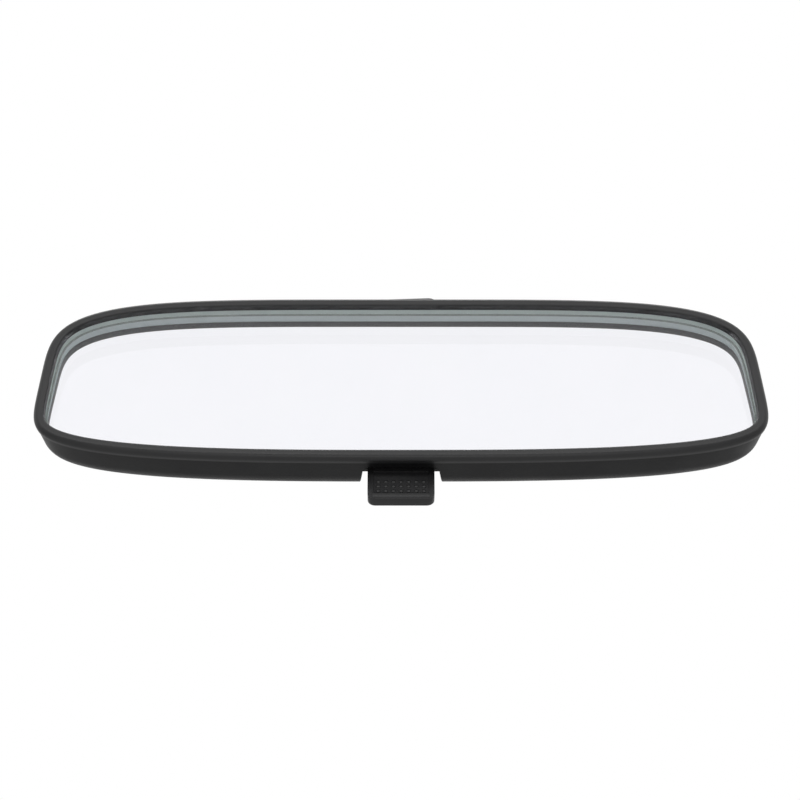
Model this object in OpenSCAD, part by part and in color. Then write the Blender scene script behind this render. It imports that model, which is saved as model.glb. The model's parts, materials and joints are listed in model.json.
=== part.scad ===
// Interior rearview mirror. A prism glass in a rimmed case tips between day and night
// on a bracket, and a two-ball arm carries it below a foot on the windscreen.
// X runs to the right, Y forward to the windscreen and Z up, in millimetres.
// The origin is the centre of the button's face, which is bonded to the windscreen.

/* [Mirror head] */
// Width of the head
head_w = 254; // [212:1:306]
// Height of the head
head_h = 70; // [58:1:85]
// Depth of the case, from the rim's crest to its back
case_depth = 30; // [28:1:36]
// Width of the rim in front of the glass
rim_w = 3.8; // [3.4:0.1:4.6]
// Wall of the rear case
case_wall = 1.9; // [1.6:0.1:2.2]

/* [Glass] */
// Depth of the glass face behind the rim's crest
glass_recess = 2.8; // [2.3:0.1:3.4]
// Thickness of the prism glass at its top edge
glass_top_t = 5.4; // [4.5:0.1:6.5]
// Thickness of the prism glass at its bottom edge
glass_bottom_t = 2; // [1.6:0.1:2.4]

/* [Day and night lever] */
// Turn of the lever from night to day
lever_swing = 32; // [26:1:34]
// Tip of the head from night to day
head_tip = 5.2; // [4:0.1:5.4]
// Width of the lever's tab
tab_w = 23; // [19:0.1:26]
// Length of the tab below the case
tab_len = 13.9; // [11:0.1:16]
// Thickness of the tab
tab_t = 3.2; // [2.6:0.1:4]

/* [Arm and balls] */
// Radius of both balls
ball_r = 7; // [6:0.1:7.6]
// Distance from the head's ball to the foot's ball
arm_len = 54; // [45:1:66]
// Rise of the arm above the horizontal
arm_rise = 50.2; // [44:0.1:58]
// Rise of the head's ball stud above the horizontal
stud_rise = 35; // [30:1:40]

/* [Foot] */
// Width of the foot
foot_w = 36; // [30:1:43]
// Length of the foot along the windscreen
foot_len = 40; // [34:1:48]
// Slope of the windscreen above the horizontal
screen_rake = 30; // [25:1:35]
// Turn of the foot about its stud
foot_turn = 2; // [0:1:5]

/* [Hidden] */
$fn = 64;

outline_points = 96;  // points around the head's outline
outline_warp = 6;     // shift of those points towards the corners, in degrees
upper_corner = [4.7, 3.8];  // outline's exponents in X and Z above mid-height
lower_corner = [2.9, 6.1];  // the same below mid-height
slip = 0.1;           // clearance between spherical or sliding faces
fit = 0.05;           // radial clearance of a pin in its bore
overlap = 0.5;        // depth by which joined shapes run into each other

half_w = head_w / 2;
half_h = head_h / 2;

// Rim and case sections
rim_back = 3.2;               // depth of the parting line
rim_side = 2.1;               // depth at which the rim is widest
rim_round = 1.2;              // depth of the rounding on the rim's inner side
outer_bow = 1.1;              // exponents that shape the rim's outer and inner sides
inner_bow = 0.5;
parting_gap = 0.15;           // open groove along the parting line
side_inset = 0.25;            // case's side behind the rim's
side_draft = 0.02;            // lean of that side for each millimetre of depth
skirt_depth = 6.4;
skirt_inset = side_inset + side_draft * skirt_depth + case_wall + fit;
lip = 0.3;                    // width of the lip over the glass edge
seat_inset = rim_w - lip;
glass_inset = seat_inset + slip;
turn_depth = 0.4 * case_depth;  // where the walls start to turn into the back
dome_rise = 0.18 * case_depth;  // crown of the back
turn_start = side_inset + side_draft * turn_depth;
turn_in = 11.7;                 // radius of that turn, measured inwards
turn_end = 75;                  // angle at which the turn meets the crowned back
turn_deep = (case_depth - turn_depth - dome_rise) / sin(turn_end);
back_inset = turn_start + turn_in * (1 - cos(turn_end));

// Glass
glass_half_h = half_h - glass_inset;
wedge = atan((glass_top_t - glass_bottom_t) / (2 * glass_half_h));
glass_mid_y = glass_recess + (glass_top_t + glass_bottom_t) / 2;
backing_t = 0.25;
pad_t = 1.8;
pad_w = 22;
pad_h = 9;
pad_places = [[half_w * 0.34, half_h * 0.5], [half_w * 0.34, -half_h * 0.45],
              [half_w * 0.74, half_h * 0.45], [half_w * 0.74, -half_h * 0.42]];
post_r = 2.6;
locator_x = 47;                // ribs that centre the glass's top edge
locator_t = 1.6;
locator_len = 2.6;

// Tipping mechanism, as places in the head's own YZ plane
pin_r = 1.5;
hinge_z = half_h - 9;
lever_lean = lever_swing / 2;
lever_z = -half_h + 13.5;
tab_face_y = 8;                 // depth of the tab's face where it leaves the case
lever_y = tab_face_y + tab_t / 2 / cos(lever_lean) + (lever_z + half_h) * tan(lever_lean);
crank_share = sin(head_tip / 2) / sin(lever_swing / 2);
crank_r = (hinge_z - lever_z) * crank_share / (1 + crank_share);
crank_y = lever_y + crank_r * sin(lever_lean);
crank_z = lever_z + crank_r * cos(lever_lean);
hinge_y = crank_y;
hub_r = 3.4;
hub_half = 8.6;
arm_in = 5.3;                   // inner face of the lever's fork
arm_out = 7.3;
ear_in = 9.6;                   // inner face of the lever's ears in the case
ear_out = 11.8;
barrel_half = 12;
ear_r = 3.7;
barrel_r = 3.2;
plate_t = 2;
plate_y = crank_y + 1.4;        // front face of the bracket's plate
tongue_half = 4.8;
tongue_wall = 1.9;
tab_reach = (lever_z + half_h) / cos(lever_lean) + tab_len;

pin_head_t = 0.9;
pin_head_r = pin_r + 0.9;
hinge_ear_t = 2.2;
hinge_ear_x = barrel_half + 0.4 + hinge_ear_t / 2;
tongue_y = pin_r + slip + tongue_wall;
tongue_low = crank_z - 2.2;
tongue_high = crank_z + 6.5;
fork_r = 2.7;
blade_t = 2.8;
blade_start = 8;               // from the lever's pin to the top of the wide tab
tray_w = tab_w - 4.2;
tray_low = tab_reach - 2.6;    // tray's lower edge, measured from the pin
tray_top = tab_reach - tab_len + 0.6;
tray_depth = 0.5;
dot_r = 0.75;
dot_rise = 0.4;
dot_pitch = 2.55;
row_pitch = 2.25;
dot_row_z = tray_low - 3.8;    // middle row of dots, measured from the pin
tab_corner = 2.6;
tab_taper = 0.4;               // how much each side of the tab leans in
lip_r = 1.3;
lip_rise = 0.6;
lip_len = tab_w - 4;
dimple_r = 1.3;
dimple_depth = 0.4;
dimple_at = 2.45;
detent_t = 0.4;
detent_x = ear_in - slip - detent_t;
detent_rise = 0.7;
detent_screw_y = lever_y + 7;
detent_end_y = detent_screw_y + 1.8;
detent_outline = [[lever_y - 2.2, lever_z + hub_r], [lever_y - 3, lever_z - 1], [lever_y - 1, lever_z - 2.6],
                  [detent_end_y, lever_z - 1.8], [detent_end_y, lever_z + 1.8],
                  [lever_y + 2.4, lever_z + hub_r]];
screw_r = 1;
stop_x = 8.5;
stop_z = crank_z + 25;
stop_post_r = 2.6;
stop_len = 2;
stop_y = plate_y + plate_t + fit;
boss_r = 6;
nut_len = 4.2;
washer_t = 1;
opening_r = 9.5;
collar_r = 5;
collar_t = 1.4;
liner_over = 10;               // liner's reach past the ball's middle, in degrees

// Notch in the case for the lever
notch_front_y = 6.6;
notch_half = tab_w / 2 + 1.25;
notch_flare = 0.13;             // widening for each millimetre of depth
notch_top = lever_z - 3.5;

// Balls, sockets and arm
neck_r = 3.2;
shank_r = 3;
liner_t = 1.3;
liner_r = ball_r + slip + liner_t;
socket_r = liner_r + slip;
socket_wall = 1.5;
mouth_angle = 60;               // half angle of the socket's mouth
stud_boss = 20;                 // from the head's ball to the bracket's boss
boss_len = 9;
boss_end = stud_boss + boss_len;
boss_above = 17.2;              // height of the boss's inner end above the crank pin
ball_y = case_depth + 11;
ball_z = crank_z + boss_above + boss_end * sin(stud_rise);
foot_ball_y = ball_y + arm_len * cos(arm_rise);
foot_ball_z = ball_z + arm_len * sin(arm_rise);
seat_nose = ball_r - 2.2;
seat_start = 7.6;               // from the ball's centre to the seat's flange
seat_flange = 1.6;
spring_gap = 0.1;
spring_wire = 0.7;
spring_r = 5.2;
spring_turns = 8;

// Foot
foot_drop = 28;                 // from the windscreen to the foot's ball
foot_t = 12;
foot_skin = 0.4;                // gap between the foot and the windscreen
foot_corner = 5;
foot_edge = 2;                 // step around the foot's lower edge
set_screw_r = 2;
set_screw_y = 13.5;
boss_drop = 17.5;
button_t = 5;
button_w = 20;
button_len = 25;
button_slope = 1.6;             // how much each side leans in towards the windscreen
foot_y = foot_ball_y + foot_drop * sin(screen_rake);
foot_z = foot_ball_z + foot_drop * cos(screen_rake);

// ---- Frames ----

// The head's frame: its face centre on the rim's crest
module on_head() { translate([0, -foot_y, -foot_z]) children(); }

// The lever's frame: its pin's centre, with the tab straight down
module on_lever() { on_head() translate([0, lever_y, lever_z]) rotate([-lever_lean, 0, 0]) children(); }

// The head stud's frame: the ball's centre, with Z away from the bracket, as seen from
// the head's frame and from the origin
module at_stud() { translate([0, ball_y, ball_z]) rotate([stud_rise - 90, 0, 0]) children(); }
module on_stud() { on_head() at_stud() children(); }

// The arm's frame: the head's ball, with Z towards the foot's ball
module on_arm() { on_head() translate([0, ball_y, ball_z]) rotate([arm_rise - 90, 0, 0]) children(); }

// The foot's frame: the origin, with Z out through the windscreen
module on_foot() { rotate([-screen_rake, 0, 0]) rotate([0, 0, -foot_turn]) children(); }

// A cylinder along X, centred on X = middle, at a place in the YZ plane
module bar_x(r, length, y = 0, z = 0, middle = 0) {
    translate([middle - length / 2, y, z]) rotate([0, 90, 0]) cylinder(r = r, h = length);
}

// A cylinder along Y from y0 to y1
module bar_y(r, y0, y1, x = 0, z = 0) {
    translate([x, y0, z]) rotate([-90, 0, 0]) cylinder(r = r, h = y1 - y0);
}

// An outline in YZ, made into a plate from x0 to x1
module plate_x(points, x0, x1) {
    translate([x0, 0, 0]) rotate([90, 0, 90]) linear_extrude(x1 - x0) polygon(points);
}

// ---- The head's outline ----

// Distance along a direction at which |x|^n + |z|^m is one
function reach(c, s, n, m, r = 1, steps = 14) =
    steps == 0 ? r :
    let (fx = pow(r * c, n), fz = pow(r * s, m))
    reach(c, s, n, m, r - (fx + fz - 1) * r / (n * fx + m * fz), steps - 1);

function bearing(k) = let (u = 360 * k / outline_points) u + outline_warp * sin(4 * u);

// The outline's point and inward normal, [x, z, nx, nz], for each bearing
outline = [
    for (k = [0 : outline_points - 1])
    let (t = bearing(k), c = abs(cos(t)), s = abs(sin(t)))
    let (e = sin(t) >= 0 ? upper_corner : lower_corner, r = reach(c, s, e[0], e[1]))
    let (gx = e[0] / half_w * pow(r * c, e[0] - 1), gz = e[1] / half_h * pow(r * s, e[1] - 1))
    [r * cos(t), r * sin(t), -sign(cos(t)) * gx / norm([gx, gz]), -sign(sin(t)) * gz / norm([gx, gz])]
];

function clamp(v) = min(1, max(0, v));

// The outline moved inwards: along its normals near the rim, and towards the centre
// further in, where the length shrinks faster than the height
function inset_point(p, i) =
    let (shrink = i < back_inset ? 0 : pow((i - back_inset) / (half_h - back_inset), 1.5))
    let (ax = half_w - i * (1 + (half_w / half_h - 1) * shrink), az = half_h - i)
    let (near = [half_w * p[0] + i * p[2], half_h * p[1] + i * p[3]])
    let (far = [ax * p[0], az * p[1]])
    near + (far - near) * clamp((i - 4) / 5);

// A ring of points at inset i and depth y
function ring(i, y) = [for (p = outline) let (q = inset_point(p, i)) [q[0], y, q[1]]];

// Faces between consecutive rings of n points
function band_faces(rings, n, closed) = [
    for (k = [0 : rings - (closed ? 1 : 2)], j = [0 : n - 1])
    let (a = k * n, b = ((k + 1) % rings) * n, j2 = (j + 1) % n)
    each [[a + j, a + j2, b + j2], [a + j, b + j2, b + j]]
];

// A solid through sections given as [inset, depth], with flat ends
module loft(sections) {
    n = outline_points;
    last = (len(sections) - 1) * n;
    polyhedron(
        points = [for (s = sections) each ring(s[0], s[1])],
        faces = concat(
            [[for (j = [n - 1 : -1 : 0]) j], [for (j = [0 : n - 1]) last + j]],
            band_faces(len(sections), n, false)),
        convexity = 6);
}

// A closed hoop whose cross-section is given as [inset, depth]
module hoop(section) {
    polyhedron(
        points = [for (s = section) each ring(s[0], s[1])],
        faces = band_faces(len(section), outline_points, true),
        convexity = 6);
}

// The outline at inset i as a plate from y0 to y1
module outline_plate(i, y0, y1) {
    translate([0, y1, 0]) rotate([90, 0, 0]) linear_extrude(y1 - y0)
        polygon([for (p = outline) inset_point(p, i)]);
}

// ---- Rim and case ----

// Section of the rim: its outer side, the skirt inside the case, the lip over the glass
// and back to the crest
rim_section = concat(
    [for (a = [0 : 22.5 : 90])
        [rim_w / 2 * (1 - pow(sin(a), outer_bow)), rim_side * (1 - pow(cos(a), outer_bow))]],
    [[fit, rim_back], [skirt_inset, rim_back], [skirt_inset, skirt_depth],
     [seat_inset, skirt_depth], [seat_inset, glass_recess], [rim_w, glass_recess]],
    [for (a = [90 : -22.5 : 22.5])
        [rim_w / 2 * (1 + pow(sin(a), inner_bow)), rim_round * (1 - pow(cos(a), inner_bow))]]);

// Sections of the case's outside, or of its inside for a wall t: the side walls, the
// turn into the back and the crowned back
function case_sections(t) = concat(
    [for (y = [rim_back + parting_gap, 2 * rim_back, turn_depth])
        [side_inset + side_draft * y + t, y]],
    [for (a = [15 : 15 : turn_end])
        [turn_start + t + (turn_in - t) * (1 - cos(a)), turn_depth + (turn_deep - t) * sin(a)]],
    let (i0 = turn_start + t + (turn_in - t) * (1 - cos(turn_end)), y1 = case_depth - t)
    let (rise = y1 - turn_depth - (turn_deep - t) * sin(turn_end))
    [for (f = [0.12, 0.3, 0.55, 0.8, 0.97])
        [i0 + (half_h - i0) * f, y1 - rise * pow(1 - f, 1.6)]]);

module rim_bezel() {
    color("#26272a") on_head() hoop(rim_section);
}

// Notch through the case's bottom and back for the lever
module lever_notch() {
    far = 2 * case_depth;
    round_r = 1.6;
    side = notch_half + notch_flare * (far - notch_front_y);
    edge = [for (a = [90 : -15 : 0])
        [notch_half - round_r + round_r * cos(a), notch_front_y + round_r - round_r * sin(a)]];
    translate([0, 0, -half_h - 2]) linear_extrude(notch_top + half_h + 2) polygon(concat(
        edge, [[side, far], [-side, far]],
        [for (k = [len(edge) - 1 : -1 : 0]) [-edge[k][0], edge[k][1]]]));
}

// Pairs of ears, posts and ribs that stand on the inside of the case
module case_inners() {
    back = case_depth + 2;
    for (side = [-1, 1]) mirror([side < 0 ? 1 : 0, 0, 0]) {
        // ears for the hinge pin
        difference() {
            union() {
                bar_x(ear_r, hinge_ear_t, hinge_y, hinge_z, hinge_ear_x);
                plate_x([[hinge_y, hinge_z - ear_r], [back, hinge_z - ear_r],
                         [back, hinge_z + ear_r], [hinge_y, hinge_z + ear_r]],
                        hinge_ear_x - hinge_ear_t / 2, hinge_ear_x + hinge_ear_t / 2);
            }
            bar_x(pin_r + fit, 3 * hinge_ear_t, hinge_y, hinge_z, hinge_ear_x);
        }
        // ears for the lever's pin
        difference() {
            union() {
                bar_x(hub_r, ear_out - ear_in, lever_y, lever_z, (ear_in + ear_out) / 2);
                plate_x([[lever_y, lever_z - hub_r], [back, lever_z - 1],
                         [back, lever_z + 12], [lever_y, lever_z + hub_r]], ear_in, ear_out);
            }
            bar_x(pin_r + fit, 2 * ear_out, lever_y, lever_z);
            if (side > 0) detent_thread();
        }
        // posts behind the foam pads
        for (place = pad_places)
            behind_glass() bar_y(post_r, backing_t + pad_t, back, place[0], place[1]);
        // posts behind the rubber stops
        bar_y(stop_post_r, stop_y + stop_len, back, stop_x, stop_z);
        // ribs that centre the glass under the top wall
        translate([locator_x - locator_t / 2, skirt_depth + slip, half_h - glass_inset])
            cube([locator_t, locator_len, glass_inset]);
    }
}

module rear_case() {
    color("#232427") on_head() difference() {
        loft(case_sections(0));
        difference() {
            loft(concat([[side_inset + case_wall, 0]], case_sections(case_wall)));
            case_inners();
        }
        lever_notch();
        at_stud() translate([0, 0, -stud_boss - 4]) cylinder(r = opening_r, h = stud_boss + 4);
    }
}

// ---- Glass ----

// The glass's silvered back, with Y pointing away from it
module behind_glass() {
    translate([0, glass_mid_y, 0]) rotate([-wedge, 0, 0]) children();
}

module prism_glass() {
    color("#dfeeea") on_head() difference() {
        outline_plate(glass_inset, glass_recess, glass_recess + glass_top_t + 1);
        behind_glass() translate([-head_w, 0, -head_h]) cube([2 * head_w, head_h, 2 * head_h]);
    }
}

module mirror_backing() {
    color("#9fa3a8") on_head() intersection() {
        outline_plate(glass_inset + 0.2, 0, case_depth);
        behind_glass() translate([-head_w, 0, -head_h]) cube([2 * head_w, backing_t, 2 * head_h]);
    }
}

module foam_pads() {
    color("#3a3d42") on_head() behind_glass() for (side = [-1, 1], place = pad_places)
        translate([side * place[0] - pad_w / 2, backing_t, place[1] - pad_h / 2])
            cube([pad_w, pad_t, pad_h]);
}

// ---- Tipping mechanism ----

// A pin along X with a head at its right end
module headed_pin(length, y, z) {
    bar_x(pin_r, length, y, z);
    bar_x(pin_head_r, pin_head_t, y, z, length / 2 + pin_head_t / 2);
}

module hinge_pin() {
    color("silver") on_head() headed_pin(2 * hinge_ear_x + hinge_ear_t, hinge_y, hinge_z);
}

module lever_pin() {
    color("silver") on_head() headed_pin(2 * ear_out, lever_y, lever_z);
}

module toggle_lever() {
    color("#222326") on_lever() difference() {
        union() {
            bar_x(hub_r, 2 * hub_half);
            // fork that holds the crank pin
            for (side = [-1, 1]) mirror([side < 0 ? 1 : 0, 0, 0]) {
                plate_x([[-hub_r, 0], [hub_r, 0], [fork_r, crank_r], [-fork_r, crank_r]],
                        arm_in, arm_out);
                bar_x(fork_r, arm_out - arm_in, 0, crank_r, (arm_in + arm_out) / 2);
            }
            // blade from the hub to the tab
            translate([-arm_out, -blade_t / 2, -blade_start - overlap])
                cube([2 * arm_out, blade_t, blade_start]);
            lever_tab();
        }
        bar_x(pin_r + fit, 3 * hub_half);
        bar_x(pin_r + fit, 3 * hub_half, 0, crank_r);
        // clear the bracket's tongue between the fork's arms
        bar_x(hub_r + 1, 2 * arm_in, 0, crank_r);
        // two dimples in the hub's end, one swing apart
        for (turn = [0, lever_swing]) rotate([lever_lean - turn, 0, 0])
            translate([hub_half + dimple_r - dimple_depth, 0, dimple_at]) sphere(r = dimple_r);
        // shallow tray in the tab's face
        translate([-tray_w / 2, -tab_t / 2 - 1, -tray_low])
            cube([tray_w, 1 + tray_depth, tray_low - tray_top]);
    }
    color("#222326") on_lever() for (column = [-3 : 3], row = [-1 : 1])
        bar_y(dot_r, -tab_t / 2 - dot_rise + tray_depth, -tab_t / 2 + tray_depth + overlap,
              column * dot_pitch, row * row_pitch - dot_row_z);
}

// The tab: a plate with rounded lower corners and a rounded lip along its lower edge
module lever_tab() {
    w = tab_w / 2;
    arc_x = w - tab_taper - tab_corner;
    arc_z = tab_corner - tab_reach;
    rotate([90, 0, 0]) translate([0, 0, -tab_t / 2]) linear_extrude(tab_t) polygon(concat(
        [[-w, -blade_start]],
        [for (a = [180 : 15 : 270]) [tab_corner * cos(a) - arc_x, arc_z + tab_corner * sin(a)]],
        [for (a = [270 : 15 : 360]) [arc_x + tab_corner * cos(a), arc_z + tab_corner * sin(a)]],
        [[w, -blade_start]]));
    bar_x(lip_r, lip_len, lip_r - tab_t / 2 - lip_rise, lip_r + 0.2 - tab_reach);
}

module crank_pin() {
    color("silver") on_lever() bar_x(pin_r, 2 * arm_out, 0, crank_r);
}

// Spring plate beside the hub, with a bump that sits in one of the hub's dimples
module detent_plate() {
    color("lightsteelblue") on_head() difference() {
        union() {
            plate_x(detent_outline, detent_x, detent_x + detent_t);
            translate([detent_x + 1.2 - detent_rise, lever_y, lever_z + dimple_at]) sphere(r = 1.2);
        }
        translate([detent_x + detent_t, lever_y - 2, lever_z - 2]) cube([2, 4, 2 * hub_r]);
        bar_x(pin_r + 0.2, 2 * ear_out, lever_y, lever_z);
        bar_x(screw_r + fit, 2 * ear_out, detent_screw_y, lever_z);
    }
}

module detent_thread() {
    bar_x(screw_r + fit, 2 * ear_out, detent_screw_y, lever_z);
}

module detent_screw() {
    color("silver") on_head() difference() {
        union() {
            bar_x(screw_r, ear_out - detent_x, detent_screw_y, lever_z, (ear_out + detent_x) / 2);
            bar_x(screw_r + 0.8, 1, detent_screw_y, lever_z, detent_x - 0.5);
        }
        translate([detent_x - 1.5, detent_screw_y - 0.2, lever_z - 2]) cube([1, 0.4, 4]);
    }
}

module stop_bumpers() {
    color("#1c1c1c") on_head() for (side = [-1, 1])
        bar_y(stop_post_r - 0.5, stop_y, stop_y + stop_len, side * stop_x, stop_z);
}

module pivot_bracket() {
    color("gray") on_head() difference() {
        union() {
            bar_x(barrel_r, 2 * barrel_half, hinge_y, hinge_z);
            translate([0, plate_y + plate_t, 0]) rotate([90, 0, 0]) linear_extrude(plate_t) polygon([
                [-barrel_half, hinge_z], [-barrel_half, crank_z + 13],
                [-tongue_half, crank_z + 6], [-tongue_half, crank_z],
                [tongue_half, crank_z], [tongue_half, crank_z + 6],
                [barrel_half, crank_z + 13], [barrel_half, hinge_z]]);
            plate_x([[crank_y - tongue_y, tongue_high], [crank_y - tongue_y, tongue_low + 1],
                     [crank_y - tongue_y + 1, tongue_low], [crank_y + tongue_y - 1, tongue_low],
                     [crank_y + tongue_y, tongue_low + 1], [crank_y + tongue_y, tongue_high]],
                    -tongue_half, tongue_half);
            at_stud() translate([0, 0, -boss_end]) cylinder(r = boss_r, h = boss_len);
        }
        bar_x(pin_r + fit, 3 * barrel_half, hinge_y, hinge_z);
        // slot for the crank pin, open at the bottom
        translate([-barrel_half, crank_y - pin_r - slip, crank_z - 5])
            cube([2 * barrel_half, 2 * (pin_r + slip), 9]);
        at_stud() translate([0, 0, -2 * stud_boss]) cylinder(r = shank_r + fit, h = 2 * stud_boss);
        // clear the washer and the nut
        at_stud() translate([0, 0, -boss_end - nut_len - 2]) cylinder(r = boss_r + 0.3, h = nut_len + 2);
    }
}

// ---- Balls, liners and arm ----

// A ball on a neck and shank along -Z, with a collar on the neck's end
module ball_stud(neck, shank) {
    sphere(r = ball_r);
    translate([0, 0, -neck]) cylinder(r = neck_r, h = neck);
    translate([0, 0, -neck]) cylinder(r = collar_r, h = collar_t);
    translate([0, 0, -neck - shank]) cylinder(r = shank_r, h = shank);
}

// Liner around a ball, open towards +Z for the spring seat and along -Z for the neck
module ball_liner() {
    difference() {
        sphere(r = liner_r);
        sphere(r = ball_r + slip);
        translate([0, 0, liner_r * sin(liner_over)]) cylinder(r = 2 * liner_r, h = liner_r);
        translate([0, 0, -2 * liner_r]) cylinder(r = neck_r + 0.5, h = 2 * liner_r);
    }
}

// Seat between a ball at the frame's origin and the spring along +Z
module spring_seat() {
    difference() {
        union() {
            translate([0, 0, seat_nose]) cylinder(r = seat_nose, h = seat_start - seat_nose);
            translate([0, 0, seat_start]) cylinder(r = liner_r, h = seat_flange);
            translate([0, 0, seat_start]) cylinder(r = spring_r - 2 * spring_wire, h = 2 * seat_flange);
        }
        sphere(r = ball_r + slip);
        cylinder(r = 1.5, h = 3 * seat_start);
    }
}

module head_ball_stud() { color("silver") on_stud() ball_stud(stud_boss, boss_len + nut_len + 1.2); }

module stud_washer() {
    color("silver") on_stud() translate([0, 0, -boss_end - washer_t]) difference() {
        cylinder(r = boss_r - 0.5, h = washer_t);
        translate([0, 0, -1]) cylinder(r = shank_r + fit, h = washer_t + 2);
    }
}

module stud_nut() {
    color("darkgray") on_stud() translate([0, 0, -boss_end - nut_len]) difference() {
        cylinder(r = boss_r - 0.9, h = nut_len - washer_t, $fn = 6);
        translate([0, 0, -1]) cylinder(r = shank_r + fit, h = nut_len + 2);
    }
}

module lower_ball_liner() { color("ivory") on_stud() ball_liner(); }

module lower_spring_seat() { color("ivory") on_arm() spring_seat(); }

module upper_spring_seat() {
    color("ivory") on_arm() translate([0, 0, arm_len]) mirror([0, 0, 1]) spring_seat();
}

module arm_tube() {
    wall_r = socket_r + socket_wall;
    mouth_z = socket_r * cos(mouth_angle);
    color("#2b2c2f") on_arm() difference() {
        union() {
            cylinder(r = wall_r, h = arm_len);
            for (z = [0, arm_len]) translate([0, 0, z]) sphere(r = wall_r);
        }
        cylinder(r = socket_r, h = arm_len);
        for (z = [0, arm_len]) translate([0, 0, z]) sphere(r = socket_r);
        for (end = [0, 1]) translate([0, 0, end * arm_len]) mirror([0, 0, 1 - end]) {
            cylinder(r = socket_r * sin(mouth_angle), h = 2 * wall_r);
            translate([0, 0, mouth_z + 1.2]) cylinder(r = 2 * wall_r, h = wall_r);
        }
    }
}

// Helical compression spring between the two seats
module arm_spring() {
    rise = arm_len - 2 * (seat_start + seat_flange + spring_gap + spring_wire);
    steps = 18;
    sides = 8;
    rings = spring_turns * steps + 1;
    color("silver") on_arm() translate([0, 0, (arm_len - rise) / 2]) polyhedron(
        points = [
            for (k = [0 : rings - 1], j = [0 : sides - 1])
            let (turn = 360 * k / steps, a = 360 * j / sides, r = spring_r + spring_wire * cos(a))
            [r * cos(turn), r * sin(turn), rise * k / (rings - 1) + spring_wire * sin(a)]
        ],
        faces = concat(
            [[for (j = [0 : sides - 1]) j], [for (j = [sides - 1 : -1 : 0]) (rings - 1) * sides + j]],
            [for (face = band_faces(rings, sides, false)) [face[0], face[2], face[1]]]),
        convexity = 20);
}

module upper_ball_liner() { color("ivory") on_foot() foot_stud_place() ball_liner(); }

// ---- Foot ----

// The foot's ball, with Z away from the windscreen
module foot_stud_place() { translate([0, 0, -foot_drop]) mirror([0, 0, 1]) children(); }

module foot_ball_stud() {
    color("silver") on_foot() foot_stud_place() ball_stud(foot_drop - boss_drop, boss_drop - 8);
}

// Rounded rectangle in plan, from z0 to z1
module rounded_block(w, l, z0, z1, corner) {
    points = [for (q = [0 : 3], a = [0 : 15 : 90])
        let (sx = [1, -1, -1, 1][q], sy = [1, 1, -1, -1][q])
        [sx * (w / 2 - corner), sy * (l / 2 - corner)] + corner * [cos(90 * q + a), sin(90 * q + a)]];
    translate([0, 0, z0]) linear_extrude(z1 - z0) polygon(points);
}

// Dovetail along Y, widest at its inner face and reaching the windscreen at z = 0
module dovetail(grow, y0, y1) {
    w = button_w / 2 + grow;
    translate([0, y1, 0]) rotate([90, 0, 0]) linear_extrude(y1 - y0) polygon([
        [-w, -button_t - grow], [w, -button_t - grow], [w, -button_t + 1],
        [w - button_slope, grow], [button_slope - w, grow], [-w, -button_t + 1]]);
}

module mount_foot() {
    color("#2b2c2f") on_foot() difference() {
        union() {
            rounded_block(foot_w, foot_len, -foot_t + foot_edge, -foot_skin, foot_corner);
            rounded_block(foot_w - 2 * foot_edge, foot_len - 2 * foot_edge, -foot_t,
                          -foot_t + foot_edge + overlap, foot_corner - foot_edge);
            translate([0, 0, -boss_drop]) cylinder(r1 = 7.5, r2 = 10, h = boss_drop - foot_t + overlap);
        }
        dovetail(slip, -button_len / 2 - slip, foot_len);
        translate([0, 0, -boss_drop - 1]) cylinder(r = shank_r + fit, h = boss_drop - 7);
        translate([0, set_screw_y, -foot_t - 1]) cylinder(r = set_screw_r + fit, h = foot_t);
    }
}

module windscreen_button() {
    color("silver") on_foot() dovetail(0, -button_len / 2, button_len / 2);
}

module set_screw() {
    color("dimgray") on_foot() translate([0, set_screw_y, -foot_t - 0.8]) difference() {
        cylinder(r = set_screw_r, h = foot_t + 0.8 - button_t - slip);
        translate([0, 0, -1]) cylinder(r = 1.15, h = 3.2, $fn = 6);
    }
}

rim_bezel();
rear_case();
prism_glass();
mirror_backing();
foam_pads();
hinge_pin();
lever_pin();
toggle_lever();
crank_pin();
detent_plate();
detent_screw();
stop_bumpers();
pivot_bracket();
head_ball_stud();
stud_washer();
stud_nut();
lower_ball_liner();
lower_spring_seat();
arm_tube();
arm_spring();
upper_spring_seat();
upper_ball_liner();
foot_ball_stud();
mount_foot();
windscreen_button();
set_screw();
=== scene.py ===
import json
import math

import bmesh
import bpy
from mathutils import Matrix, Vector


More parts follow.
